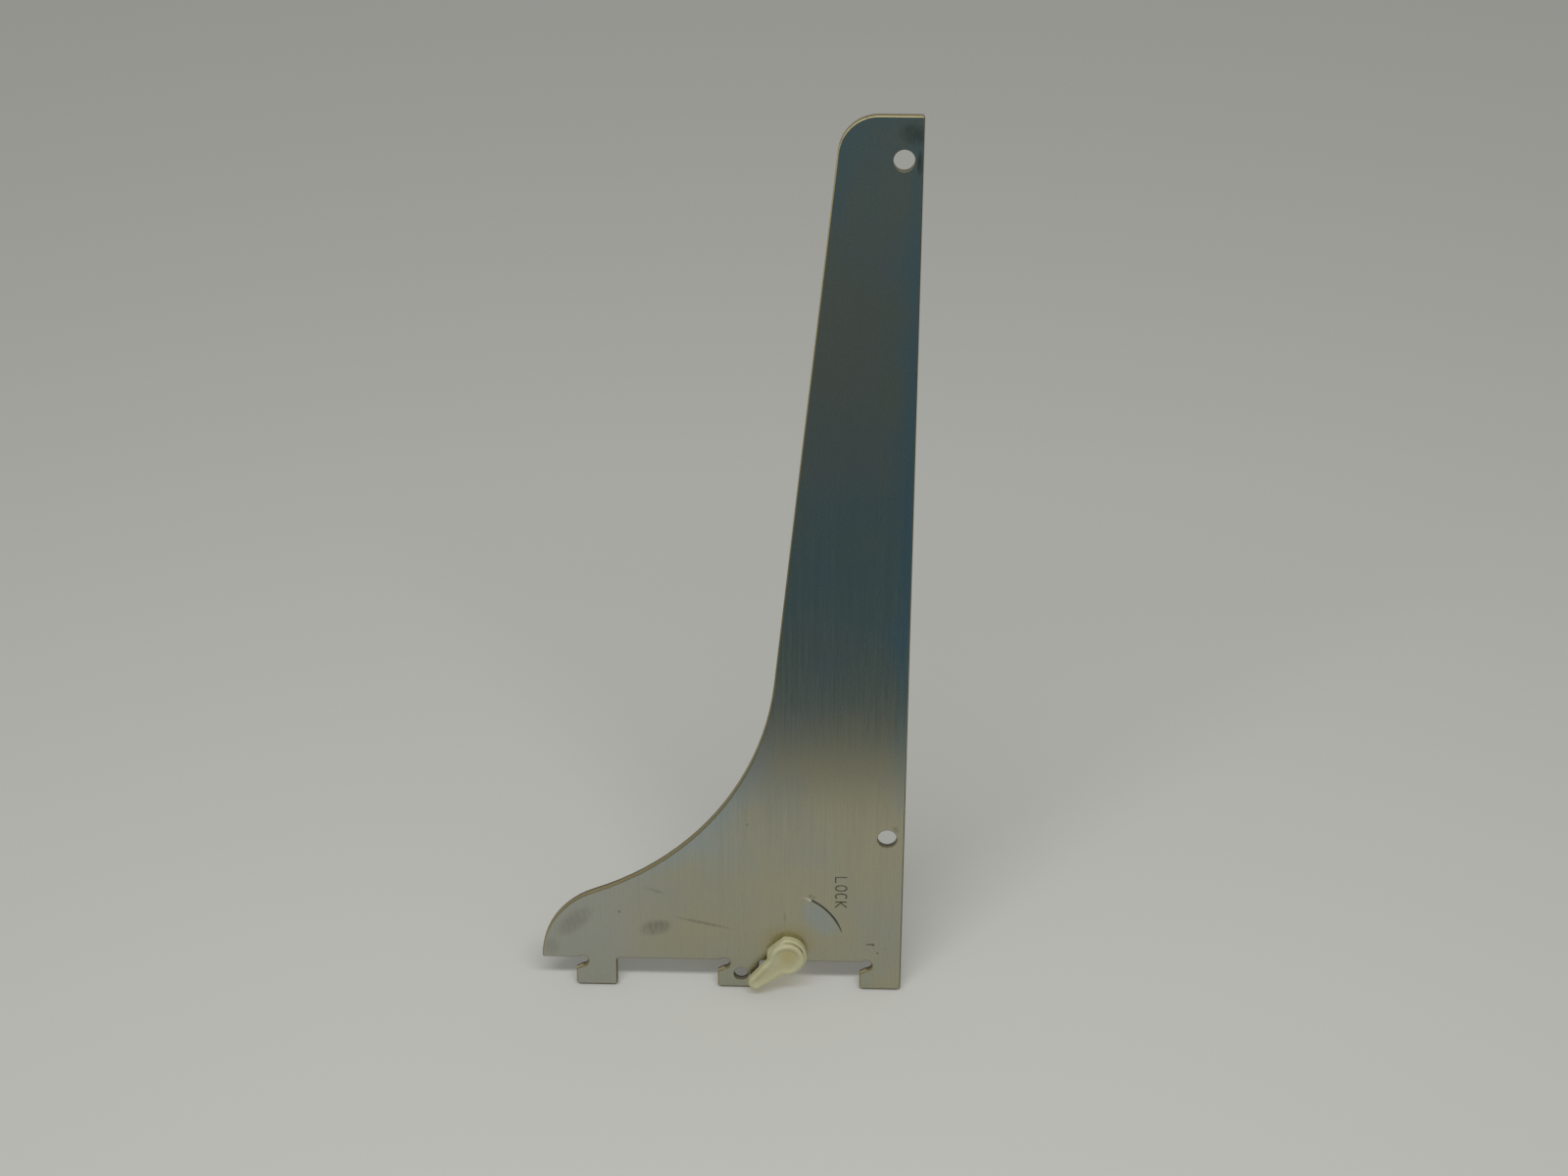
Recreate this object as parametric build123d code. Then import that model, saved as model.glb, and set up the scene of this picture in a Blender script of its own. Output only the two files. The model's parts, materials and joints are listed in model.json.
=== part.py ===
from build123d import *
import math
import os

# A shelf bracket that hooks into a slotted wall standard, with a locking lever.
# Frame: the shelf lies on the edge at z = 0, the wall side faces +Y and the tip points to -Y.
# The plate lies in the YZ plane, centred on x = 0, and its marked face looks to +X.

# Plate blank, driving dimensions in millimetres
plate_thickness = 2.66
plate_length = 304.8
tip_height = 25.4
arm_root_height = 57.15
heel_height = 128.4
hollow_radius = 98.0
heel_radius = 29.2
tip_radius = 12.7
corner_radius = 0.8
front_edge_radius = 0.6

# Wall hooks
hook_pitch = 50.8
hook_foot_margin = 6.0
hook_depth = 11.1
hook_height = 14.7
hook_neck = 10.3
hook_corner_radius = 1.2
hook_root_radius = 1.0
notch_gap = 3.5
notch_mouth = 4.8
notch_radius = 2.1
lip_corner_radius = 0.7

# Round holes
screw_hole_diameter = 6.8
screw_hole_drop = 6.0
rear_screw_inset = 50.8
tip_screw_inset = 14.0
hook_hole_diameter = 5.2
hook_hole_drop = 6.3

# Lever seat, a round opening that breaks out through the rear edge
pivot_inset = 3.45
pivot_drop = 40.75
seat_lip_radius = 0.65

# Lever
stud_radius = 4.6
running_clearance = 0.08
end_float = 0.08
flange_radius = 7.1
flange_flat = 6.0
flange_thickness = 3.2
flange_bevel = 0.3
groove_width = 0.4
groove_depth = 0.9
head_radius = 6.15
head_thickness = 1.6
handle_reach = 17.5
handle_root_width = 9.0
handle_tip_radius = 2.6
handle_lift = 1.2
handle_blend_radius = 1.5
handle_keel_bevel = 0.4
lever_edge_radius = 0.6
dish_rim = 1.35
dish_depth = 0.6
dish_wall_angle = 50.0
back_flange_radius = 6.2
back_flange_thickness = 1.4
back_flange_bevel = 0.5
lever_rest_angle = -47.8

# Places that follow from the sizes above
half_thickness = plate_thickness / 2
hook_count = 1 + int((heel_height - hook_height - hook_foot_margin) / hook_pitch)
seat_radius = stud_radius + running_clearance
seat_mouth = 2 * math.sqrt(seat_radius**2 - pivot_inset**2)
stud_flat = seat_mouth - running_clearance - stud_radius


def arc_middle(centre, radius, first_angle, last_angle):
    """Point half-way round an arc, with its angles in degrees."""
    angle = math.radians((first_angle + last_angle) / 2)
    return centre + Vector(math.cos(angle), math.sin(angle)) * radius


def heading(vector):
    return math.degrees(math.atan2(vector.Y, vector.X))


def lower_outline():
    """Arm underside, hollow and heel as tangent curves, from the heel corner to the tip."""
    rise = math.atan2(arm_root_height - tip_height, plate_length)
    along_arm = Vector(math.cos(rise), -math.sin(rise))
    below_arm = Vector(-math.sin(rise), -math.cos(rise))
    heel_corner = Vector(0, -heel_height)
    heel_centre = heel_corner + Vector(0, heel_radius)

    # The hollow touches the arm line and the heel circle
    start = Vector(0, -arm_root_height) + below_arm * hollow_radius
    offset_vector = start - heel_centre
    reach = offset_vector.dot(along_arm)
    spread = hollow_radius + heel_radius
    shift = -reach - math.sqrt(reach**2 - offset_vector.length**2 + spread**2)
    hollow_centre = start + along_arm * shift
    meeting = hollow_centre + (heel_centre - hollow_centre).normalized() * hollow_radius
    arm_end = hollow_centre - below_arm * hollow_radius

    heel_turn = heading(meeting - heel_centre)
    heel_middle = arc_middle(heel_centre, heel_radius, heading(heel_corner - heel_centre), heel_turn)
    hollow_middle = arc_middle(
        hollow_centre, hollow_radius, heading(meeting - hollow_centre), heading(arm_end - hollow_centre)
    )
    ThreePointArc(heel_corner, heel_middle, meeting)
    ThreePointArc(meeting, hollow_middle, arm_end)
    Polyline(arm_end, (-plate_length, -tip_height), (-plate_length, 0))


def hook_outline(top):
    """One hook with its notch, from the rear edge above it to the rear edge below it."""
    notch_centre = Vector(notch_gap - notch_radius, top - hook_neck - notch_radius)
    edge_angle = 180 + math.degrees(math.acos(notch_centre.X / notch_radius))
    edge_drop = math.sqrt(notch_radius**2 - notch_centre.X**2)
    lip_root = notch_centre + Vector(notch_radius, 0)
    below = Vector(0, notch_centre.Y - edge_drop)
    Polyline(
        (0, top), (hook_depth, top), (hook_depth, top - hook_height), (notch_mouth, top - hook_height), lip_root
    )
    ThreePointArc(lip_root, arc_middle(notch_centre, notch_radius, 0, edge_angle), below)
    return below


def nearest_vertices(sketch, points):
    return [sketch.vertices().sort_by_distance(Vector(*point))[0] for point in points]


def plate_profile():
    hook_tops = [-index * hook_pitch for index in range(hook_count)]
    pivot = (-pivot_inset, -pivot_drop)
    with BuildSketch() as profile:
        with BuildLine():
            last = Vector(-plate_length, 0)
            for top in hook_tops:
                Line(last, (0, top))
                last = hook_outline(top)
            Line(last, (0, -heel_height))
            lower_outline()
        make_face()
        with Locations(pivot):
            Circle(seat_radius, mode=Mode.SUBTRACT)
        with Locations((-rear_screw_inset, -screw_hole_drop), (tip_screw_inset - plate_length, -screw_hole_drop)):
            Circle(screw_hole_diameter / 2, mode=Mode.SUBTRACT)
        with Locations((hook_depth / 2, hook_tops[1] - hook_hole_drop)):
            Circle(hook_hole_diameter / 2, mode=Mode.SUBTRACT)

        fillet(nearest_vertices(profile, [(-plate_length, -tip_height)]), tip_radius)
        fillet(nearest_vertices(profile, [(-plate_length, 0), (0, -heel_height)]), corner_radius)
        outer = [(hook_depth, top - drop) for top in hook_tops for drop in (0, hook_height)]
        fillet(nearest_vertices(profile, outer), hook_corner_radius)
        fillet(nearest_vertices(profile, [(0, top) for top in hook_tops[1:]]), hook_root_radius)
        lips = [(notch_mouth, top - hook_height) for top in hook_tops]
        fillet(nearest_vertices(profile, lips), lip_corner_radius)
        mouth = [(0, -pivot_drop + side * seat_mouth / 2) for side in (-1, 1)]
        fillet(nearest_vertices(profile, mouth), seat_lip_radius)
    return profile.sketch


def bracket_plate():
    """Flat pressing, rolled over along its front edges and left sharp behind."""
    with BuildPart() as plate:
        with BuildSketch(Plane.YZ.offset(-half_thickness)):
            add(plate_profile())
        extrude(amount=plate_thickness)
        front = plate.faces().sort_by(Axis.X)[-1]
        fillet(front.outer_wire().edges(), front_edge_radius)
    return plate.part


def flatted_round(radius, flat):
    """Round with one flat, on the local -Y side."""
    with BuildSketch() as plan:
        Circle(radius)
        with Locations((0, -flat)):
            Rectangle(2 * radius, radius, align=(Align.CENTER, Align.MAX), mode=Mode.SUBTRACT)
    return plan.sketch


def neck_plan():
    """Head circle set back behind the hub, which leaves a crescent groove there."""
    with BuildSketch() as plan:
        Circle(head_radius)
        with Locations((groove_depth, 0)):
            Circle(head_radius, mode=Mode.INTERSECT)
    return plan.sketch


def handle_plan():
    """Tapered finger with a round end, along the local X axis."""
    tip_centre = handle_reach - handle_tip_radius
    with BuildSketch() as plan:
        with BuildLine():
            Polyline(
                (tip_centre, handle_tip_radius),
                (0, handle_root_width / 2),
                (0, -handle_root_width / 2),
                (tip_centre, -handle_tip_radius),
            )
            ThreePointArc(
                (tip_centre, -handle_tip_radius), (handle_reach, 0), (tip_centre, handle_tip_radius)
            )
        make_face()
    return plan.sketch


def head_plan():
    """Round head run into the finger."""
    with BuildSketch() as plan:
        Circle(head_radius)
        add(handle_plan())
        inner = plan.vertices().filter_by_position(Axis.X, 0, head_radius, inclusive=(False, False))
        fillet(inner, handle_blend_radius)
    return plan.sketch


def slab(plan, bottom, height):
    return extrude(Plane.XY.offset(bottom) * plan, height)


def cam_flange(bottom):
    """Disc that bears on the wall standard, with its flat beside the handle."""
    flange = slab(flatted_round(flange_radius, flange_flat), bottom, flange_thickness)
    return chamfer(flange.faces().sort_by(Axis.Z)[-1].edges(), flange_bevel)


def finger_keel(bottom, top):
    """Lower half of the handle, bevelled underneath."""
    keel = slab(handle_plan(), bottom, top - bottom)
    return chamfer(keel.faces().sort_by(Axis.Z)[0].edges(), handle_keel_bevel)


def dished_head(bottom):
    """Head and upper half of the handle, with a rounded rim and a spoon-like hollow."""
    top = bottom + head_thickness
    head = slab(head_plan(), bottom, head_thickness)
    head = fillet(head.faces().sort_by(Axis.Z)[-1].outer_wire().edges(), lever_edge_radius)
    dish = Plane.XY.offset(top) * offset(head_plan(), amount=-dish_rim)
    return head - extrude(dish, -dish_depth, taper=dish_wall_angle)


def lock_lever():
    """Moulded lever: stud with a flat, cam flange and back flange that hold the plate, and a dished handle."""
    face = half_thickness + end_float
    groove_floor = face + flange_thickness
    head_floor = groove_floor + groove_width
    lever = slab(flatted_round(stud_radius, stud_flat), -face, 2 * face)
    lever += cam_flange(face)
    lever += slab(neck_plan(), groove_floor, groove_width)
    lever += finger_keel(face + handle_lift, head_floor)
    lever += dished_head(head_floor)
    back = slab(Sketch() + Circle(back_flange_radius), -face, -back_flange_thickness)
    lever += chamfer(back.faces().sort_by(Axis.Z)[0].edges(), back_flange_bevel)
    turned = Plane(
        origin=(0, -pivot_inset, -pivot_drop),
        x_dir=(0, math.cos(math.radians(lever_rest_angle)), math.sin(math.radians(lever_rest_angle))),
        z_dir=(1, 0, 0),
    )
    return turned * lever


os.makedirs("parts", exist_ok=True)
export_step(bracket_plate(), "parts/bracket_plate.step")
export_step(lock_lever(), "parts/lock_lever.step")
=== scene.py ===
import json
import math
from contextlib import contextmanager

import bmesh
import bpy
from mathutils import Matrix, Vector
from mathutils.bvhtree import BVHTree
from mathutils.geometry import intersect_point_line


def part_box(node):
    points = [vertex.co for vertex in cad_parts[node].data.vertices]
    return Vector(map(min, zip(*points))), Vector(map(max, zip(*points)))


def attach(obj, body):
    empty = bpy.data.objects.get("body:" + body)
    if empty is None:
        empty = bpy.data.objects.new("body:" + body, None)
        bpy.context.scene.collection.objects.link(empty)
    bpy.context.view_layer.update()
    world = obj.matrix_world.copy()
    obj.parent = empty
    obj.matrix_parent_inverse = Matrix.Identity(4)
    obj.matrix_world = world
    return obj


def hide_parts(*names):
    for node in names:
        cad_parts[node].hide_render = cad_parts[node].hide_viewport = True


# A pressed-steel shelf bracket with a nylon lock lever.
# Units are metres in the part's frame: +X out of the marked face, +Y into the wall, +Z up.
# Noise scales are per metre, and a band is the pair of values between which a look changes.

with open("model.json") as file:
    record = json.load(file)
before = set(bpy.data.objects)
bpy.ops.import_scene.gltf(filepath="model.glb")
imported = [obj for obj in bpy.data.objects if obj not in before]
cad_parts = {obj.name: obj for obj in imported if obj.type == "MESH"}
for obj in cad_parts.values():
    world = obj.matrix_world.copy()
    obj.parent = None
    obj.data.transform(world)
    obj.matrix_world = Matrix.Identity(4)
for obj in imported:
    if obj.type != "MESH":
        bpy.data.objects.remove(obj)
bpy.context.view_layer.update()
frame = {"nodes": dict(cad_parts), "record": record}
plate_low, plate_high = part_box("bracket_plate")
front_face = plate_high.x
millimetre = 0.001

# Camera at the photograph's viewing angle, with its lens in millimetres
camera_place = Vector((0.7315, -0.4710, -0.0243))
camera_aim = Vector((0.0, -0.1455, -0.0425))
camera_up = Vector((-0.4062, -0.9137, -0.0153))
camera_lens = 55.11

# The bracket stands on its hook ends on a pale top and leans back from the camera
lean_angle = math.radians(12.0)
table_up = Vector((math.sin(lean_angle), -math.cos(lean_angle), 0.0))
table_front = Vector((math.cos(lean_angle), math.sin(lean_angle), 0.0))
table_across = Vector((0.0, 0.0, 1.0))
table_front_edge = 0.245
table_back_edge = 3.0
table_half_width = 3.0
table_colour = (0.59, 0.59, 0.565, 1.0)

# Soft light: an even world and one long lamp overhead, with its power in watts
world_colour = (0.44, 0.44, 0.425, 1.0)
lamp_turn = math.radians(21.6)
lamp_side = -0.06
lamp_distance = 0.9
lamp_length = 0.9
lamp_width = 0.12
lamp_power = 3.8

# Dim cards in front of the pale top, which the metal reflects and the camera does not see
room_start = 0.330
room_middle = 1.1
room_reach = 3.0
room_height = 0.7
table_dim_colour = (0.305, 0.305, 0.29, 1.0)
room_near_colour = (0.080, 0.124, 0.160, 1.0)
room_floor_colour = (0.105, 0.136, 0.162, 1.0)
room_wall_colour = (0.117, 0.154, 0.180, 1.0)

# Noise in the materials, where nothing else is said
noise_detail = 3.0
noise_roughness = 0.55

# Chromate film on the zinc: yellow over most of the plate, greyer on the heel and gold on the rims
film_yellow = (0.45, 0.43, 0.31, 1.0)
film_olive = (0.42, 0.42, 0.34, 1.0)
film_grey = (0.44, 0.445, 0.39, 1.0)
film_gold = (0.44, 0.38, 0.20, 1.0)
film_blue = (0.29, 0.42, 0.42, 1.0)
film_pale = (0.385, 0.44, 0.435, 1.0)
# Brown-yellow painted reflection and shade of the lever on the plate
lever_reflection_and_shade = (0.43, 0.36, 0.18, 1.0)
film_brown = (0.47, 0.40, 0.30, 1.0)
film_distance = "edge_distance"
film_grid = 0.003
film_cloud_scale = 26.0
film_cloud_band = (0.38, 0.64)
grey_heel_band = (-0.075, -0.110)
gold_rim_band = (0.0004, 0.0008)
gold_rim_roughness = 0.58
blue_rim_band = (0.0008, 0.0100)
uneven_rim_band = (0.3, 0.7)
uneven_rim_shares = (1.7, 0.6)
patchy_band = (0.25, 0.65)
patchy_share = 0.6

# Zones of another film, as soft ovals: the first ones only along the rims, the others on the whole face;
# the last one is no film but a painted reflection and shade of the lever round its hub
# Each is a colour, a place (y, z), half length, half width, turn in degrees and strength
rim_zones = (
    (film_blue, -0.190, 0.002, 0.150, 0.022, 90.0, 0.80),
    (film_blue, -0.290, -0.022, 0.030, 0.026, 90.0, 0.55),
    (film_pale, -0.060, -0.072, 0.045, 0.045, 0.0, 0.70),
)
face_zones = (
    (film_brown, -0.220, -0.026, 0.042, 0.024, 90.0, 0.25),
    (film_blue, -0.146, -0.020, 0.050, 0.036, 90.0, 0.35),
    (film_blue, -0.285, -0.012, 0.021, 0.021, 0.0, 0.30),
    (film_pale, -0.050, -0.070, 0.018, 0.016, 0.0, 0.35),
    (film_pale, -0.0180, -0.0290, 0.0105, 0.0062, 48.0, 1.0),
    # Painted reflection and shade of the lever round its hub
    (lever_reflection_and_shade, -0.0080, -0.0410, 0.0125, 0.0090, 0.0, 0.55),
)

# Handling marks on the front face: place (y, z), half length, half width, turn in degrees and strength
smudges = (
    (-0.0131, -0.0875, 0.0070, 0.0038, -14.0, 0.50),
    (-0.0150, -0.1165, 0.0100, 0.0044, -42.0, 0.32),
    (-0.0045, -0.1250, 0.0034, 0.0046, 0.0, 0.22),
    (-0.2990, -0.0030, 0.0060, 0.0042, 10.0, 0.55),
    (-0.2900, -0.0012, 0.0012, 0.0050, 0.0, 0.65),
    (-0.0154, -0.0708, 0.0125, 0.0008, 12.6, 0.42),
    (-0.0282, -0.0873, 0.0050, 0.0007, 20.0, 0.30),
    (-0.0180, -0.0416, 0.0006, 0.0026, 0.0, 0.30),
    (-0.0194, -0.1004, 0.0009, 0.0007, 0.0, 0.60),
    (-0.0556, -0.0548, 0.0008, 0.0006, 0.0, 0.40),
    (-0.0545, -0.0030, 0.0020, 0.0012, 60.0, 0.35),
    (-0.0272, -0.0325, 0.0009, 0.0006, 0.0, 0.55),
    (-0.0267, -0.0313, 0.0009, 0.0006, 0.0, 0.45),
)
smudge_colour = (0.12, 0.11, 0.09, 1.0)
fleck_scales = (1.0, 300.0, 1000.0)
fleck_band = (0.25, 0.70)
fleck_shares = (0.40, 1.0)

# Brushing of the plate along its arm
long_streak_scales = (40.0, 9.0, 900.0)
long_streak_detail = 4.0
long_streak_roughness = 0.7
fine_streak_scales = (40.0, 60.0, 3200.0)
fine_streak_detail = 2.0
streak_shade = (0.68, 0.68, 0.65, 1.0)
streak_shade_band = (0.35, 0.65)
streak_shade_share = 0.09
brushed_band = (0.36, 0.64)
brushed_roughness = (0.20, 0.29)
brushed_anisotropy = 0.8
brushed_turn_share = 0.25
brushed_bump_height = 0.00001
brushed_bump_strength = 0.15

# Finishes of the cut edges: name, burnished colour and torn colour
sheared_finishes = (
    ("sheared_edge", (0.46, 0.40, 0.23, 1.0), (0.25, 0.21, 0.12, 1.0)),
    # Cut walls in narrow gaps and rims round the holes: painted shade
    ("sheared_gap_painted_shade", (0.24, 0.21, 0.13, 1.0), (0.11, 0.10, 0.085, 1.0)),
    # Lip walls: burnished, and painted lighter as a highlight on the rolled lip
    ("sheared_lip_highlight", (0.72, 0.62, 0.37, 1.0), (0.20, 0.17, 0.10, 1.0)),
    # Front rims turned towards the wall or the shelf: painted shade
    ("painted_shade_rim", (0.13, 0.125, 0.10, 1.0), (0.10, 0.095, 0.08, 1.0)),
)
face_finish, edge_finish, painted_shade_gap_finish, highlight_lip_finish, painted_shade_rim_finish = range(1 + len(sheared_finishes))
film_edges = (edge_finish, highlight_lip_finish)
burnished_band = (0.0002, 0.0005)
sheared_roughness = (0.58, 0.44)
sheared_roughness_band = (0.0001, 0.0006)
tear_scales = (150.0, 1600.0, 1600.0)
tear_reach = 0.0008
tear_shade = (0.60, 0.60, 0.58, 1.0)
tear_shade_band = (0.35, 0.70)
tear_shade_share = 0.5
tear_bump_height = 0.00006
tear_bump_strength = 0.6
narrow_gap = 0.008

# Small edges of the pressing, and the limits by which its faces are told apart
burr_bevel = 0.00018
burr_segments = 2
burr_profile = 0.5
bore_rim_width = 2.0 * burr_bevel
front_radius = 0.0006
rim_reach = 0.0010
smooth_angle = math.radians(35.0)
level_angle = math.radians(0.05)
flat_share = 0.999
side_share = 0.3
away_share = 0.45
least_side_share = 1e-4
weld_distance = 1e-6
split_distance = 1e-7

# Notch lips of the hooks, with places as (y, z) from each hook's top corner
hook_pitch = 0.0508
hook_count = 3
hook_tops = [-index * hook_pitch for index in range(hook_count)]
lip_root = Vector((0.0035, -0.0124))
lip_end = Vector((0.0048, -0.0147))
lip_reach = 0.0006

# Stamped marks on the front face, with places as (y, z)
mark_depth = 0.00042
mark_overrun = 0.00020
stroke_width = 0.00046
mitre_limit = 0.4
word = "LOCK"
word_start = Vector((-0.03495, -0.02375))
letter_width = 0.0022
letter_height = 0.0040
letter_pitch = 0.00333
letter_round_steps = 24
letter_c_opening = math.radians(45.0)
letter_k_waist_shares = (0.15, 0.48)
arrow_tail = Vector((-0.01253, -0.02136))
arrow_middle = Vector((-0.02292, -0.02841))
arrow_tip = Vector((-0.02706, -0.03589))
arrow_width = 0.00085
arrow_tail_share = 0.35
arrow_growth_share = 3.0
arrow_steps = 40
arrow_head_steps = 8
arrow_head_depth = 0.0007
arrow_head_inner = 0.0008
arrow_head_outer = 0.0005
arrow_point_share = 0.08
tool_mark_start = Vector((-0.00756, -0.01260))
tool_mark_end = Vector((-0.00756, -0.00985))
tool_mark_width = 0.0006
tool_mark_start_share = 0.5
dot_sides = 12

# Punched dots: place (y, z) and diameter
tool_dots = (
    (-0.00735, -0.00995, 0.0011),
    (-0.00406, -0.00851, 0.0009),
    (-0.00576, -0.00579, 0.0005),
)

# Metal in the stamped marks, darker towards their bottom, and the dark fill of the lever's groove and of
# the punched dots: painted shade, with dirt
mark_floor_colour = (0.07, 0.065, 0.045, 1.0)
mark_wall_colour = (0.26, 0.25, 0.18, 1.0)
mark_roughness = 0.48
mark_darkening_scale = 1500.0
mark_darkening_height = 0.0001
mark_darkening_shares = (-0.9, 0.1)
# Painted highlight on the inner slope of the arrow's point
facet_highlight_pale = (0.92, 0.89, 0.74, 1.0)
facet_highlight_deep = (0.80, 0.76, 0.60, 1.0)
facet_roughness = 0.38
facet_scale = 2500.0
shade_grime_dark = (0.05, 0.045, 0.03, 1.0)
shade_grime_pale = (0.12, 0.105, 0.06, 1.0)
shade_grime_roughness = 0.75
shade_grime_scale = 1800.0

# Lever, with places and angles about its pivot and heights from the middle of the plate
pivot = Vector(frame["record"]["behaviour"]["joints"][0]["pos_m"])
handle_turn = math.radians(-47.8)
handle_way = Vector((0.0, math.cos(handle_turn), math.sin(handle_turn)))
moulding_grain = 0.00012
moulding_smooth_steps = 5
smooth_factor = 0.5
groove_high = 0.00505
dish_rise = 0.0003
dish_low = groove_high + dish_rise
dish_radius = 0.0048
dish_smooth_steps = 240
hub_front = 0.0034
hub_reach = 0.0085
hub_smooth_steps = 220

# Crescent groove behind the lever's head, with its section as (height, radius)
groove_turn = math.radians(55.0)
groove_spare = (math.radians(45.0), math.radians(85.0))
groove_sweep = (math.radians(-16.0), math.radians(94.0))
groove_steps = 30
groove_full_step = 22
groove_close_steps = 11
groove_start_share = 0.20
groove_centre = (0.00485, 0.00640)
groove_section = ((0.00507, 0.00712), (0.00465, 0.00642), (0.00435, 0.00530))

# Cream nylon, darker and yellower behind the head, with painted shade and some yellowing from handling in
# the dish, and the light that it lets into its shadow
nylon_pale = (0.52, 0.51, 0.33, 1.0)
nylon_deep = (0.495, 0.475, 0.29, 1.0)
nylon_cloud_scale = 220.0
nylon_cloud_band = (0.35, 0.65)
nylon_behind = (0.44, 0.425, 0.23, 1.0)
nylon_behind_share = 0.5
nylon_dish_shade_and_wear = (0.47, 0.42, 0.205, 1.0)
dish_shade_place = Vector((0.0, -0.0012, 0.0004))
dish_shade_core = 0.001
dish_shade_height = 0.0058
nylon_grain_scale = 2600.0
nylon_grain_detail = 2.0
nylon_grain_band = (0.3, 0.7)
nylon_roughness = (0.40, 0.54)
nylon_bump_height = 0.00002
nylon_bump_strength = 0.2
nylon_scatter_weight = 0.5
nylon_scatter_shares = (1.0, 0.8, 0.4)
nylon_scatter_reach = 0.0020
nylon_glow = (1.0, 0.93, 0.75, 1.0)
nylon_passes_share = 0.68


# Small helpers

def clamp(value):
    return min(1.0, max(0.0, value))


def in_plane(vector):
    """The part of a vector that lies in the plate's plane."""
    return Vector((0.0, vector.y, vector.z))


def behind_way(angle):
    """Direction in the plate's plane at an angle from -Y towards +Z."""
    return Vector((0.0, -math.cos(angle), math.sin(angle)))


def link(piece):
    bpy.context.scene.collection.objects.link(piece)
    return piece


def mesh_object(name, points, faces):
    mesh = bpy.data.meshes.new(name)
    mesh.from_pydata([tuple(point) for point in points], [], faces)
    mesh.update()
    return link(bpy.data.objects.new(name, mesh))


@contextmanager
def edited(piece):
    """A piece's points, edges and faces to work on, written back to its mesh at the end."""
    made = bmesh.new()
    made.from_mesh(piece.data)
    yield made
    made.to_mesh(piece.data)
    made.free()


# Node trees

def put(socket, value):
    """Link a socket to another node's output, or set its constant."""
    if isinstance(value, bpy.types.NodeSocket):
        socket.id_data.links.new(value, socket)
    else:
        socket.default_value = value


def start_material(name):
    """New material: its tree, its shader node and the place on the part in metres."""
    material = bpy.data.materials.new(name)
    material.use_nodes = True
    tree = material.node_tree
    place = tree.nodes.new("ShaderNodeTexCoord").outputs["Object"]
    return material, tree, tree.nodes["Principled BSDF"], place


def start_stage_material(name):
    """New material without a shader: its tree and the socket that takes one."""
    material = bpy.data.materials.new(name)
    material.use_nodes = True
    tree = material.node_tree
    tree.nodes.remove(tree.nodes["Principled BSDF"])
    return material, tree, tree.nodes["Material Output"].inputs["Surface"]


def noise(tree, place, scale, detail=noise_detail, roughness=noise_roughness):
    made = tree.nodes.new("ShaderNodeTexNoise")
    put(made.inputs["Vector"], place)
    put(made.inputs["Scale"], scale)
    put(made.inputs["Detail"], detail)
    put(made.inputs["Roughness"], roughness)
    return made.outputs[0]


def streaks(tree, place, scales, detail=noise_detail, roughness=noise_roughness):
    """Noise with a scale of its own along each axis."""
    return noise(tree, vector_calc(tree, "MULTIPLY", place, scales), 1.0, detail, roughness)


def band(tree, value, start, end, low=0.0, high=1.0):
    """Smooth step of a value from low at start to high at end."""
    made = tree.nodes.new("ShaderNodeMapRange")
    made.interpolation_type = "SMOOTHSTEP"
    put(made.inputs["Value"], value)
    put(made.inputs["From Min"], start)
    put(made.inputs["From Max"], end)
    put(made.inputs["To Min"], low)
    put(made.inputs["To Max"], high)
    return made.outputs[0]


def calc(tree, operation, first, second):
    made = tree.nodes.new("ShaderNodeMath")
    made.operation = operation
    put(made.inputs[0], first)
    put(made.inputs[1], second)
    return made.outputs[0]


def vector_calc(tree, operation, first, second, output="Vector"):
    made = tree.nodes.new("ShaderNodeVectorMath")
    made.operation = operation
    put(made.inputs[0], first)
    put(made.inputs[1], second)
    return made.outputs[output]


def axis(tree, place, name):
    made = tree.nodes.new("ShaderNodeSeparateXYZ")
    put(made.inputs[0], place)
    return made.outputs[name]


def blend(tree, factor, first, second, mode="MIX"):
    """Mix of two colours. The node's colour sockets come after those for numbers and vectors."""
    made = tree.nodes.new("ShaderNodeMix")
    made.data_type = "RGBA"
    made.blend_type = mode
    put(made.inputs[0], factor)
    put(made.inputs[6], first)
    put(made.inputs[7], second)
    return made.outputs[2]


def mix_shaders(tree, factor, first, second):
    made = tree.nodes.new("ShaderNodeMixShader")
    put(made.inputs[0], factor)
    put(made.inputs[1], first.outputs[0])
    put(made.inputs[2], second.outputs[0])
    return made.outputs[0]


def oval(tree, place, y, z, half_length, half_width, degrees):
    """Soft oval mask on the front half of the plate, with its long axis turned from +Z towards +Y."""
    turn = math.radians(degrees)
    offset = vector_calc(tree, "SUBTRACT", place, (front_face, y, z))
    long_axis = (0.0, math.sin(turn) / half_length, math.cos(turn) / half_length)
    short_axis = (0.0, math.cos(turn) / half_width, -math.sin(turn) / half_width)
    along = vector_calc(tree, "DOT_PRODUCT", offset, long_axis, "Value")
    across = vector_calc(tree, "DOT_PRODUCT", offset, short_axis, "Value")
    reach = calc(tree, "ADD", calc(tree, "MULTIPLY", along, along), calc(tree, "MULTIPLY", across, across))
    inside = band(tree, reach, 0.0, 1.0, 1.0, 0.0)
    in_front = band(tree, axis(tree, place, "X"), 0.0, front_face)
    return calc(tree, "MULTIPLY", inside, in_front)


def bump(tree, height, distance, strength):
    made = tree.nodes.new("ShaderNodeBump")
    put(made.inputs["Height"], height)
    put(made.inputs["Distance"], distance)
    put(made.inputs["Strength"], strength)
    return made.outputs[0]


# Materials

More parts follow.
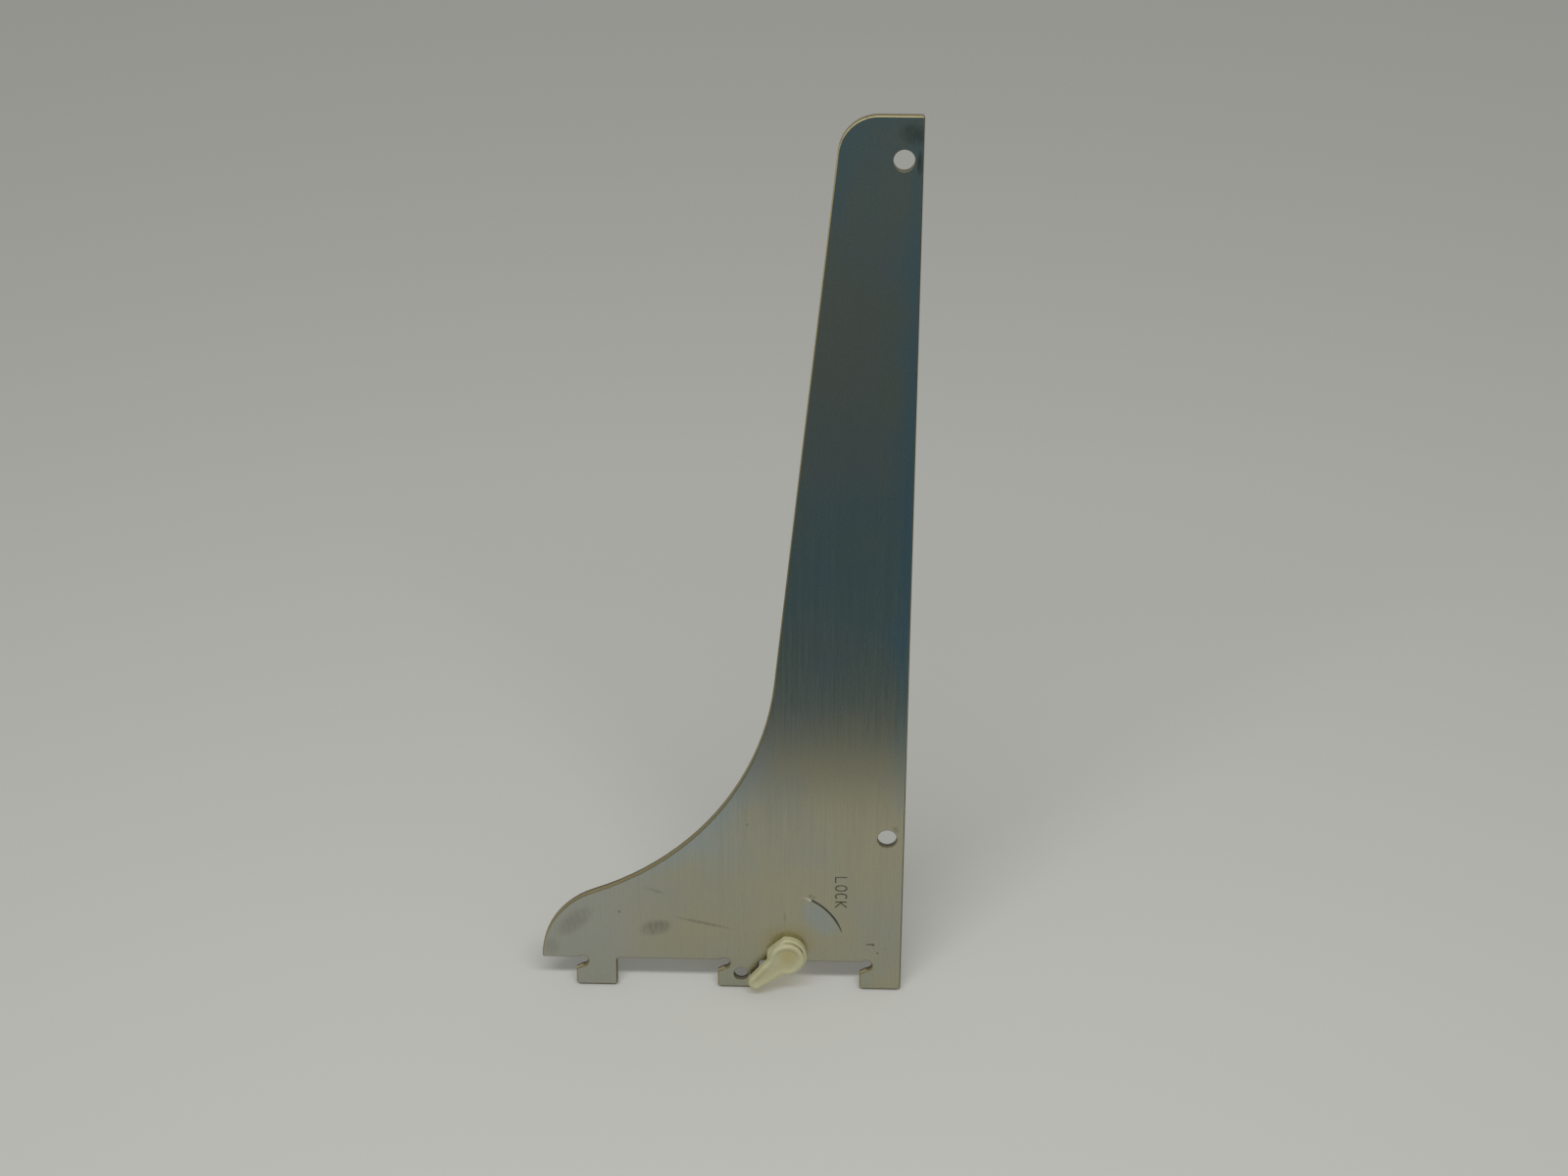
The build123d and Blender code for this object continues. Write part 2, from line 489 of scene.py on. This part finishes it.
def film_tint(tree, place, distance, rim_film):
    """Colour of the chromate film: cloudy, with zones of another film and a gold rim, and a painted
    reflection and shade of the lever round its hub.
    """
    cloud = noise(tree, place, film_cloud_scale)
    uneven = band(tree, cloud, *uneven_rim_band, *uneven_rim_shares)
    from_rim = calc(tree, "MULTIPLY", distance, uneven)
    tint = blend(tree, band(tree, cloud, *film_cloud_band), film_yellow, film_olive)
    tint = blend(tree, band(tree, axis(tree, place, "Z"), *grey_heel_band), tint, film_grey)
    for colour, *shape, share in rim_zones:
        edge = band(tree, from_rim, *blue_rim_band, share, 0.0)
        tint = blend(tree, calc(tree, "MULTIPLY", edge, oval(tree, place, *shape)), tint, colour)
    for colour, *shape, share in face_zones:
        patchy = band(tree, cloud, *patchy_band, patchy_share * share, share)
        tint = blend(tree, calc(tree, "MULTIPLY", oval(tree, place, *shape), patchy), tint, colour)
    return blend(tree, rim_film, tint, film_gold)


def smudged(tree, place, tint):
    """A tint with the handling marks on it."""
    flecks = band(tree, streaks(tree, place, fleck_scales), *fleck_band, *fleck_shares)
    for *shape, share in smudges:
        spot = calc(tree, "MULTIPLY", oval(tree, place, *shape), share)
        tint = blend(tree, calc(tree, "MULTIPLY", spot, flecks), tint, smudge_colour)
    return tint


def zinc_material():
    """Brushed zinc plate under a thin film of yellow and blue chromate, with its smudges."""
    material, tree, shader, place = start_material("zinc_plate")
    rim = tree.nodes.new("ShaderNodeAttribute")
    rim.attribute_name = film_distance
    distance = rim.outputs["Fac"]
    rim_film = band(tree, distance, *gold_rim_band, 1.0, 0.0)
    tint = film_tint(tree, place, distance, rim_film)
    long_streak = streaks(tree, place, long_streak_scales, long_streak_detail, long_streak_roughness)
    fine_streak = streaks(tree, place, fine_streak_scales, fine_streak_detail)
    streak = calc(tree, "MULTIPLY", calc(tree, "ADD", long_streak, fine_streak), 0.5)
    shaded = band(tree, streak, *streak_shade_band, 0.0, streak_shade_share)
    tint = blend(tree, shaded, tint, streak_shade, "MULTIPLY")
    put(shader.inputs["Base Color"], smudged(tree, place, tint))
    put(shader.inputs["Metallic"], 1.0)
    brushed = band(tree, streak, *brushed_band, *brushed_roughness)
    rolled = calc(tree, "MULTIPLY", rim_film, gold_rim_roughness)
    put(shader.inputs["Roughness"], calc(tree, "MAXIMUM", brushed, rolled))
    put(shader.inputs["Anisotropic"], brushed_anisotropy)
    put(shader.inputs["Anisotropic Rotation"], brushed_turn_share)
    put(shader.inputs["Normal"], bump(tree, streak, brushed_bump_height, brushed_bump_strength))
    return material


def sheared_material(name, burnished, torn):
    """Cut edges: a burnished band next to the front face and a torn one behind it."""
    material, tree, shader, place = start_material(name)
    tear = streaks(tree, place, tear_scales)
    depth = calc(tree, "ADD", axis(tree, place, "X"), calc(tree, "MULTIPLY", tear, tear_reach))
    tint = blend(tree, band(tree, depth, *burnished_band), torn, burnished)
    shaded = band(tree, tear, *tear_shade_band, 0.0, tear_shade_share)
    put(shader.inputs["Base Color"], blend(tree, shaded, tint, tear_shade, "MULTIPLY"))
    put(shader.inputs["Metallic"], 1.0)
    put(shader.inputs["Roughness"], band(tree, depth, *sheared_roughness_band, *sheared_roughness))
    put(shader.inputs["Normal"], bump(tree, tear, tear_bump_height, tear_bump_strength))
    return material


def groove_material():
    """Walls of the stamped marks: bare metal that turns darker towards the bottom."""
    material, tree, shader, place = start_material("stamped_groove")
    uneven = calc(tree, "MULTIPLY", noise(tree, place, mark_darkening_scale), mark_darkening_height)
    height = calc(tree, "ADD", axis(tree, place, "X"), uneven)
    dark_end, light_end = (front_face + share * mark_depth for share in mark_darkening_shares)
    rise = band(tree, height, dark_end, light_end)
    put(shader.inputs["Base Color"], blend(tree, rise, mark_floor_colour, mark_wall_colour))
    put(shader.inputs["Metallic"], 1.0)
    put(shader.inputs["Roughness"], mark_roughness)
    return material


def highlight_facet_material():
    """Near-white metal on the slope that a stamp leaves beside its mark: a painted highlight."""
    material, tree, shader, place = start_material("painted_highlight_facet")
    speckle = noise(tree, place, facet_scale)
    put(shader.inputs["Base Color"], blend(tree, speckle, facet_highlight_pale, facet_highlight_deep))
    put(shader.inputs["Metallic"], 1.0)
    put(shader.inputs["Roughness"], facet_roughness)
    return material


def shade_grime_material():
    """Dark fill of the lever's groove and the plate's punched dots: painted shade of these hollows, with
    dirt.
    """
    material, tree, shader, place = start_material("groove_shade_and_grime")
    speckle = noise(tree, place, shade_grime_scale)
    put(shader.inputs["Base Color"], blend(tree, speckle, shade_grime_dark, shade_grime_pale))
    put(shader.inputs["Roughness"], shade_grime_roughness)
    return material


def nylon_tint(tree, place):
    """Colour of the nylon: cloudy cream, darker and yellower behind the head, with painted shade and some
    yellowing from handling in the dish.
    """
    offset = vector_calc(tree, "SUBTRACT", place, pivot)
    height = axis(tree, offset, "X")
    from_dish_shade = vector_calc(tree, "SUBTRACT", offset, dish_shade_place)
    flat = vector_calc(tree, "MULTIPLY", from_dish_shade, (0.0, 1.0, 1.0))
    radius = vector_calc(tree, "LENGTH", flat, (0.0, 0.0, 0.0), "Value")
    cloud = noise(tree, place, nylon_cloud_scale)
    tint = blend(tree, band(tree, cloud, *nylon_cloud_band), nylon_pale, nylon_deep)
    behind_head = band(tree, height, hub_front, groove_high, nylon_behind_share, 0.0)
    tint = blend(tree, behind_head, tint, nylon_behind)
    # Painted shade of the dish, with some yellowing from handling, strongest towards its upper side
    in_dish = band(tree, radius, dish_shade_core, dish_radius, 1.0, 0.0)
    dish_shade = calc(tree, "MULTIPLY", in_dish, band(tree, height, groove_high, dish_shade_height))
    return blend(tree, dish_shade, tint, nylon_dish_shade_and_wear)


def nylon_material():
    """Cream nylon: satin and slightly translucent, with a pale shadow."""
    material, tree, shader, place = start_material("cream_nylon")
    put(shader.inputs["Base Color"], nylon_tint(tree, place))
    grain = noise(tree, place, nylon_grain_scale, nylon_grain_detail)
    put(shader.inputs["Roughness"], band(tree, grain, *nylon_grain_band, *nylon_roughness))
    put(shader.inputs["Normal"], bump(tree, grain, nylon_bump_height, nylon_bump_strength))
    put(shader.inputs["Subsurface Weight"], nylon_scatter_weight)
    put(shader.inputs["Subsurface Radius"], nylon_scatter_shares)
    put(shader.inputs["Subsurface Scale"], nylon_scatter_reach)
    through = tree.nodes.new("ShaderNodeBsdfTransparent")
    put(through.inputs["Color"], nylon_glow)
    shadow = tree.nodes.new("ShaderNodeLightPath").outputs["Is Shadow Ray"]
    passing = calc(tree, "MULTIPLY", shadow, nylon_passes_share)
    put(tree.nodes["Material Output"].inputs["Surface"], mix_shaders(tree, passing, shader, through))
    return material


def table_material():
    """Pale top that only shows from above, so that a view from below looks through it."""
    material, tree, surface = start_stage_material("table_top")
    top = tree.nodes.new("ShaderNodeBsdfDiffuse")
    put(top.inputs["Color"], table_colour)
    through = tree.nodes.new("ShaderNodeBsdfTransparent")
    from_below = tree.nodes.new("ShaderNodeNewGeometry").outputs["Backfacing"]
    put(surface, mix_shaders(tree, from_below, top, through))
    return material


def glow_material(name, colour):
    material, tree, surface = start_stage_material(name)
    glow = tree.nodes.new("ShaderNodeEmission")
    put(glow.inputs["Color"], colour)
    put(surface, glow.outputs[0])
    return material


# Stamped marks

def circle_through(first, second, third):
    """Centre of the circle through three points."""
    left = second - first
    right = third - first
    turn = 2.0 * left.cross(right)
    across = right.y * left.length_squared - left.y * right.length_squared
    down = left.x * right.length_squared - right.x * left.length_squared
    return first + Vector((across, down)) / turn


def arc_points(first, middle, last, steps):
    """Even points along the arc through three points."""
    centre = circle_through(first, middle, last)
    start = first - centre
    sweep = start.angle_signed(last - centre)
    points = []
    for step in range(steps + 1):
        turned = start.copy()
        turned.rotate(Matrix.Rotation(-sweep * step / steps, 2))
        points.append(centre + turned)
    return points


def letter_strokes(letter):
    """Strokes of a letter as points in shares of its width and height, and whether each one closes."""
    if letter == "L":
        return [([(0.0, 1.0), (0.0, 0.0), (1.0, 0.0)], False)]
    if letter == "K":
        stem = [(0.0, 1.0), (0.0, 0.0)]
        arms = [(1.0, 1.0), letter_k_waist_shares, (1.0, 0.0)]
        return [(stem, False), (arms, False)]
    closed = letter == "O"
    opening = 0.0 if closed else letter_c_opening
    sweep = 2.0 * (math.pi - opening)
    count = letter_round_steps if closed else letter_round_steps + 1
    points = []
    for step in range(count):
        angle = opening + sweep * step / letter_round_steps
        points.append((0.5 + 0.5 * math.cos(angle), 0.5 + 0.5 * math.sin(angle)))
    return [(points, closed)]


def word_strokes():
    """Strokes of the word, each with its points, its widths and whether it closes."""
    strokes = []
    for index, letter in enumerate(word):
        corner = word_start + Vector((index * letter_pitch, 0.0))
        for shares, closed in letter_strokes(letter):
            points = [corner + Vector((y * letter_width, z * letter_height)) for y, z in shares]
            strokes.append((points, [stroke_width] * len(points), closed))
    return strokes


def arrow_points():
    return arc_points(arrow_tail, arrow_middle, arrow_tip, arrow_steps)


def arrow_stroke():
    """Turning arrow: a line that thins out at its tail and runs into the head."""
    points = arrow_points()[:1 - arrow_head_steps]
    widths = []
    for step in range(len(points)):
        share = arrow_tail_share + arrow_growth_share * step / arrow_steps
        widths.append(arrow_width * min(1.0, share))
    return points, widths, False


def outward(piece):
    """Turn a closed mesh's faces outward."""
    with edited(piece) as made:
        bmesh.ops.recalc_face_normals(made, faces=made.faces)
    return piece


def prism_cutter(name, runs, material):
    """Prisms through runs of cross-sections, each run with whether it closes on itself."""
    points = []
    faces = []
    for sections, closed in runs:
        first = len(points)
        count = len(sections)
        corners = len(sections[0])
        for section in sections:
            points.extend(section)
        for index in range(count if closed else count - 1):
            here = first + corners * index
            there = first + corners * ((index + 1) % count)
            for left in range(corners):
                right = (left + 1) % corners
                faces.append((here + left, here + right, there + right, there + left))
        if not closed:
            last = first + corners * (count - 1)
            faces.append(tuple(reversed(range(first, first + corners))))
            faces.append(tuple(range(last, last + corners)))
    cutter = mesh_object(name, points, faces)
    cutter.data.materials.append(material)
    return outward(cutter)


def groove_section_at(place, along, left, right, depth):
    """V-shaped cross-section of a mark at a place, standing a little out of the front face."""
    side = Vector((-along.y, along.x))
    spread = 1.0 + mark_overrun / depth
    corners = (place + side * (left * spread), place - side * (right * spread))
    section = [(front_face + mark_overrun, corner.x, corner.y) for corner in corners]
    section.append((front_face - depth, place.x, place.y))
    return section


def stroke_sections(path, widths, closed):
    """Cross-sections along a stroke, mitred at its corners."""
    count = len(path)
    sections = []
    for index, (place, width) in enumerate(zip(path, widths)):
        before = path[index - 1] if index > 0 or closed else None
        after = path[(index + 1) % count] if index < count - 1 or closed else None
        into = (place - before).normalized() if before else None
        out = (after - place).normalized() if after else None
        along = ((into or out) + (out or into)).normalized()
        half = 0.5 * width / max(mitre_limit, along.dot(out or into))
        depth = mark_depth * min(1.0, width / stroke_width)
        sections.append(groove_section_at(place, along, half, half, depth))
    return sections


def groove_cutter(name, strokes, material):
    runs = [(stroke_sections(path, widths, closed), closed) for path, widths, closed in strokes]
    return prism_cutter(name, runs, material)


def arrow_head_cutter(material, highlight):
    """Arrow point: a wedge that widens back from the tip, with a painted highlight on the slope of its
    inner side.
    """
    back = arrow_points()[-1 - arrow_head_steps]
    along = (arrow_tip - back).normalized()
    sizes = (arrow_head_inner, arrow_head_outer, arrow_head_depth)
    wide = groove_section_at(back, along, *sizes)
    narrow = groove_section_at(arrow_tip, along, *(arrow_point_share * size for size in sizes))
    cutter = prism_cutter("arrow_head", [([wide, narrow], False)], material)
    cutter.data.materials.append(highlight)
    inner_slope = cutter.data.polygons[len(wide) - 1]
    inner_slope.material_index = len(cutter.data.materials) - 1
    return cutter


def dot_cutter(centre, radius, material):
    """Small cone for a punched dot."""
    points = []
    for index in range(dot_sides):
        angle = 2.0 * math.pi * index / dot_sides
        y = centre.x + radius * math.cos(angle)
        z = centre.y + radius * math.sin(angle)
        points.append((front_face + mark_overrun, y, z))
    points.append((front_face - mark_depth, centre.x, centre.y))
    faces = [tuple(range(dot_sides))]
    faces += [(index, dot_sides, (index + 1) % dot_sides) for index in range(dot_sides)]
    cutter = mesh_object("dot", points, faces)
    cutter.data.materials.append(material)
    return outward(cutter)


def lever_groove_cutter(material):
    """Crescent between the back of the lever's head and its flange, deepest towards its upper end."""
    start, end = groove_sweep
    middle_height, middle_radius = groove_centre
    sections = []
    for step in range(groove_steps + 1):
        share = groove_start_share + (1.0 - groove_start_share) * min(step / groove_full_step, 1.0)
        share = min(share, groove_start_share + (groove_steps - step) / groove_close_steps)
        way = behind_way(start + (end - start) * step / groove_steps)
        section = []
        for height, radius in groove_section:
            height = middle_height + (height - middle_height) * share
            radius = middle_radius + (radius - middle_radius) * share
            section.append(pivot + way * radius + Vector((height, 0.0, 0.0)))
        sections.append(section)
    return prism_cutter("lever_groove", [(sections, False)], material)


# Meshes

def bake(piece):
    """Apply a piece's modifiers to its mesh."""
    graph = bpy.context.evaluated_depsgraph_get()
    mesh = bpy.data.meshes.new_from_object(piece.evaluated_get(graph))
    piece.modifiers.clear()
    piece.data = mesh


def drop_idle_points(piece):
    """Take out points where only two edges meet, which would turn into folded slivers."""
    with edited(piece) as made:
        idle = [vert for vert in made.verts if len(vert.link_edges) == 2]
        bmesh.ops.dissolve_verts(made, verts=idle)


def cut(piece, cutter):
    """Take a cutter's form out of a piece, with the cutter's materials on the new walls."""
    modifier = piece.modifiers.new("cut", "BOOLEAN")
    modifier.object = cutter
    modifier.operation = "DIFFERENCE"
    modifier.solver = "EXACT"
    modifier.material_mode = "TRANSFER"
    bake(piece)
    drop_idle_points(piece)
    bpy.data.objects.remove(cutter)


def is_level(face):
    """Whether a face lies in the plate's plane."""
    return abs(face.normal.x) > flat_share


def is_side(face):
    """Whether a face stands across the plate's thickness."""
    return abs(face.normal.x) < side_share


def closed_copy(node, name):
    """Copy of a CAD node as one closed mesh with its flat faces whole."""
    mesh = bpy.data.meshes.new(name)
    made = bmesh.new()
    made.from_mesh(frame["nodes"][node].data)
    bmesh.ops.remove_doubles(made, verts=made.verts, dist=weld_distance)
    for layer in list(made.loops.layers.float_vector):
        made.loops.layers.float_vector.remove(layer)
    level = [edge for edge in made.edges if all(is_level(face) for face in edge.link_faces)]
    bmesh.ops.dissolve_limit(made, angle_limit=level_angle, verts=[], edges=level)
    made.to_mesh(mesh)
    made.free()
    return link(bpy.data.objects.new(name, mesh))


# Plate

def is_sharp_rim(edge):
    """Whether a flat face meets a side face at an edge."""
    level = any(is_level(face) for face in edge.link_faces)
    side = any(is_side(face) for face in edge.link_faces)
    return edge.is_manifold and level and side


def soften_back_edges(piece):
    """Break the sharp burr side of the pressing, and roll the rims of its holes."""
    with edited(piece) as made:
        rims = [edge for edge in made.edges if is_sharp_rim(edge)]
        bmesh.ops.bevel(
            made, geom=rims, offset=burr_bevel, offset_type="OFFSET", segments=burr_segments,
            profile=burr_profile, affect="EDGES", clamp_overlap=True
        )


def on_lip(place):
    """Whether a place lies on the slope of one of the notch lips."""
    for top in hook_tops:
        below = Vector((place.y, place.z - top))
        nearest, share = intersect_point_line(below, lip_root, lip_end)
        if 0.0 <= share <= 1.0 and (nearest - below).length < lip_reach:
            return True
    return False


def on_bore_rim(place):
    """Whether a place lies on the rim of one of the plate's round holes."""
    for mount in frame["record"]["mounts"]:
        if mount["kind"] == "bore":
            reach = mount["dims"]["r_mm"] * millimetre + bore_rim_width
            if in_plane(place - Vector(mount["pos_m"])).length < reach:
                return True
    return False


def finish_of(face, tree):
    """Finish of a face: cut sides are burnished on the lips, painted lighter there as a highlight, and
    painted darker as shade in narrow gaps.

    Rims get painted shade round the holes, and in front where they face the wall or the shelf.
    """
    middle = face.calc_center_median()
    if is_side(face):
        # Lip walls get a painted highlight over their burnish
        if on_lip(middle):
            return highlight_lip_finish
        # Walls that face another wall close by get painted shade
        hit = tree.ray_cast(middle + face.normal * burr_bevel, face.normal, narrow_gap)
        return edge_finish if hit[0] is None else painted_shade_gap_finish
    if is_level(face):
        return face_finish
    # Rims round the holes get painted shade
    if on_bore_rim(middle):
        return painted_shade_gap_finish
    # Front rims turned towards the wall or the shelf get painted shade
    shaded = face.normal.x > 0.0 and max(face.normal.y, face.normal.z) > away_share
    return painted_shade_rim_finish if shaded else face_finish


def give_finishes(piece):
    """Put the plate's materials on its faces."""
    piece.data.materials.clear()
    piece.data.materials.append(zinc_material())
    for finish in sheared_finishes:
        piece.data.materials.append(sheared_material(*finish))
    with edited(piece) as made:
        tree = BVHTree.FromBMesh(made)
        for face in made.faces:
            face.material_index = finish_of(face, tree)


def stamp_marks(piece, shade_grime):
    """Press the word, the turning arrow and the tool's own marks into the front face."""
    groove = groove_material()
    strokes = word_strokes()
    arms = strokes.pop()
    tool_widths = [tool_mark_start_share * tool_mark_width, tool_mark_width]
    tool_stroke = ([tool_mark_start, tool_mark_end], tool_widths, False)
    cut(piece, groove_cutter("marks", strokes + [arrow_stroke(), tool_stroke], groove))
    # The last letter's arms touch its stem, so they are cut by themselves
    cut(piece, groove_cutter("more_marks", [arms], groove))
    cut(piece, arrow_head_cutter(groove, highlight_facet_material()))
    # The dots get a dark fill: painted shade, with dirt
    for y, z, diameter in tool_dots:
        cut(piece, dot_cutter(Vector((y, z)), 0.5 * diameter, shade_grime))


def divide(made, way):
    """Split a mesh in even steps along one of the plate's axes."""
    low = plate_low.dot(way)
    count = int((plate_high.dot(way) - low) / film_grid)
    for step in range(1, count + 1):
        whole = made.verts[:] + made.edges[:] + made.faces[:]
        place = way * (low + step * film_grid)
        bmesh.ops.bisect_plane(made, geom=whole, dist=split_distance, plane_co=place, plane_no=way)


def note_edge_distance(piece):
    """Divide the plate into a grid, and note at each point how far the nearest open cut edge is."""
    with edited(piece) as made:
        for way in (Vector((0.0, 1.0, 0.0)), Vector((0.0, 0.0, 1.0))):
            divide(made, way)
        made.verts.index_update()
        places = [vert.co.copy() for vert in made.verts]
        sides = [face for face in made.faces if face.material_index in film_edges]
        corners = [[vert.index for vert in face.verts] for face in sides]
        edge_tree = BVHTree.FromPolygons(places, corners)
        layer = made.verts.layers.float.new(film_distance)
        for vert in made.verts:
            *nearest, distance = edge_tree.find_nearest(vert.co)
            vert[layer] = distance


def level_flat_faces(mesh):
    """Shade the flat faces exactly flat, whatever meets them at their edges."""
    normals = [corner.vector.copy() for corner in mesh.corner_normals]
    for face in mesh.polygons:
        if is_level(face):
            for corner in face.loop_indices:
                normals[corner] = face.normal.copy()
    mesh.normals_split_custom_set(normals)


def round_front_rim(mesh):
    """Shade the rolled front edge exactly round, whatever its facets."""
    normals = [corner.vector.copy() for corner in mesh.corner_normals]
    distances = mesh.attributes[film_distance].data
    for face in mesh.polygons:
        rolled = side_share < face.normal.x < flat_share
        if not rolled or max(distances[vert].value for vert in face.vertices) > rim_reach:
            continue
        for corner in face.loop_indices:
            height = mesh.vertices[mesh.loops[corner].vertex_index].co.x
            rise = clamp(1.0 + (height - front_face) / front_radius)
            side = in_plane(normals[corner])
            if side.length < least_side_share:
                side = in_plane(face.normal)
            normals[corner] = Vector((rise, 0.0, 0.0)) + side.normalized() * math.sqrt(1.0 - rise * rise)
    mesh.normals_split_custom_set(normals)


def shade_plate(piece):
    """Shade the plate smooth, with its flat faces flat and its rolled edge round."""
    piece.data.shade_smooth()
    piece.data.set_sharp_from_angle(angle=smooth_angle)
    even = piece.modifiers.new("even_normals", "WEIGHTED_NORMAL")
    even.keep_sharp = True
    bake(piece)
    level_flat_faces(piece.data)
    round_front_rim(piece.data)


def stamped_plate(shade_grime):
    """The plate with its edges broken, its finishes and its stamped marks."""
    piece = closed_copy("bracket_plate", "stamped_plate")
    soften_back_edges(piece)
    give_finishes(piece)
    stamp_marks(piece, shade_grime)
    note_edge_distance(piece)
    shade_plate(piece)
    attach(piece, "bracket")
    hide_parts("bracket_plate")
    return piece


# Lever

def dish_weight(offset):
    """1 in the dish of the lever's head and along its handle, 0 elsewhere."""
    along = max(0.0, offset.dot(handle_way))
    reach = (in_plane(offset) - handle_way * along).length
    return 1.0 if offset.x > dish_low and reach < dish_radius else 0.0


def hub_weight(offset):
    """1 where the flange runs into the head, falling to 0 towards the groove."""
    flat = in_plane(offset)
    if offset.x < hub_front or flat.length < dish_radius or flat.length > hub_reach:
        return 0.0
    start, end = groove_spare
    return clamp((flat.angle(behind_way(groove_turn)) - start) / (end - start))


def smooth_modifier(piece, name, steps):
    soft = piece.modifiers.new(name, "SMOOTH")
    soft.factor = smooth_factor
    soft.iterations = steps
    return soft


def soften(piece, name, weight, steps):
    """Smooth a piece's points by a weight that follows from their place about the pivot."""
    group = piece.vertex_groups.new(name=name)
    for vert in piece.data.vertices:
        share = weight(vert.co - pivot)
        if share > 0.0:
            group.add([vert.index], share, "REPLACE")
    smooth_modifier(piece, name, steps).vertex_group = group.name
    bake(piece)
    piece.vertex_groups.clear()


def moulded_lever(shade_grime):
    """The lever with every edge softened as it comes from its mould."""
    piece = closed_copy("lock_lever", "moulded_lever")
    grain = piece.modifiers.new("grain", "REMESH")
    grain.mode = "VOXEL"
    grain.voxel_size = moulding_grain
    smooth_modifier(piece, "soft", moulding_smooth_steps)
    bake(piece)
    soften(piece, "dish", dish_weight, dish_smooth_steps)
    soften(piece, "hub", hub_weight, hub_smooth_steps)
    piece.data.materials.clear()
    piece.data.materials.append(nylon_material())
    # The groove's dark fill is painted shade, with dirt
    cut(piece, lever_groove_cutter(shade_grime))
    piece.data.shade_smooth()
    piece.data.set_sharp_from_angle(angle=smooth_angle)
    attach(piece, "lever")
    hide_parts("lock_lever")
    return piece


# Stage

def table_foot():
    """Point of the pale top under the hook ends."""
    corners = (Vector((x, plate_high.y, 0.0)) for x in (plate_low.x, plate_high.x))
    return min(corners, key=lambda corner: corner.dot(table_up))


def stage_strip(name, start, end, material):
    """Flat strip of the stage between two lines that run across it."""
    side = table_across * table_half_width
    quad = mesh_object(name, (start - side, start + side, end + side, end - side), [(0, 1, 2, 3)])
    quad.data.materials.append(material)
    return quad


def build_stage():
    """Pale top under the bracket, and the dim cards in front of it."""
    foot = table_foot()
    near_edge = foot + table_front * table_front_edge
    far_edge = foot - table_front * table_back_edge
    room_near = foot + table_front * room_start
    room_line = foot + table_front * room_middle
    room_edge = foot + table_front * room_reach
    room_top = room_edge + table_up * room_height
    stage_strip("table_top", near_edge, far_edge, table_material())
    cards = (
        ("table_dim", near_edge, room_near, table_dim_colour),
        ("room_near", room_near, room_line, room_near_colour),
        ("room_floor", room_line, room_edge, room_floor_colour),
        ("room_wall", room_edge, room_top, room_wall_colour),
    )
    for name, start, end, colour in cards:
        card = stage_strip(name, start, end, glow_material(name, colour))
        card.visible_camera = False


def build_light():
    world = bpy.data.worlds.new("studio")
    world.use_nodes = True
    put(world.node_tree.nodes["Background"].inputs["Color"], world_colour)
    bpy.context.scene.world = world
    lamp = bpy.data.lights.new("ceiling", "AREA")
    lamp.shape = "RECTANGLE"
    lamp.size = lamp_width
    lamp.size_y = lamp_length
    lamp.energy = lamp_power
    holder = link(bpy.data.objects.new("ceiling", lamp))
    towards = table_up * math.cos(lamp_turn) + table_front * math.sin(lamp_turn) + table_across * lamp_side
    holder.location = towards.normalized() * lamp_distance
    holder.rotation_euler = towards.to_track_quat("Z", "Y").to_euler()


def build_camera():
    data = bpy.data.cameras.new("camera")
    data.lens = camera_lens
    holder = link(bpy.data.objects.new("camera", data))
    back = (camera_place - camera_aim).normalized()
    right = camera_up.cross(back).normalized()
    upward = back.cross(right)
    turn = Matrix((right, upward, back)).transposed()
    holder.matrix_world = Matrix.Translation(camera_place) @ turn.to_4x4()
    bpy.context.scene.camera = holder


shade_and_dirt = shade_grime_material()
stamped_plate(shade_and_dirt)
moulded_lever(shade_and_dirt)
build_stage()
build_light()
build_camera()
bpy.context.scene.view_settings.view_transform = "Standard"
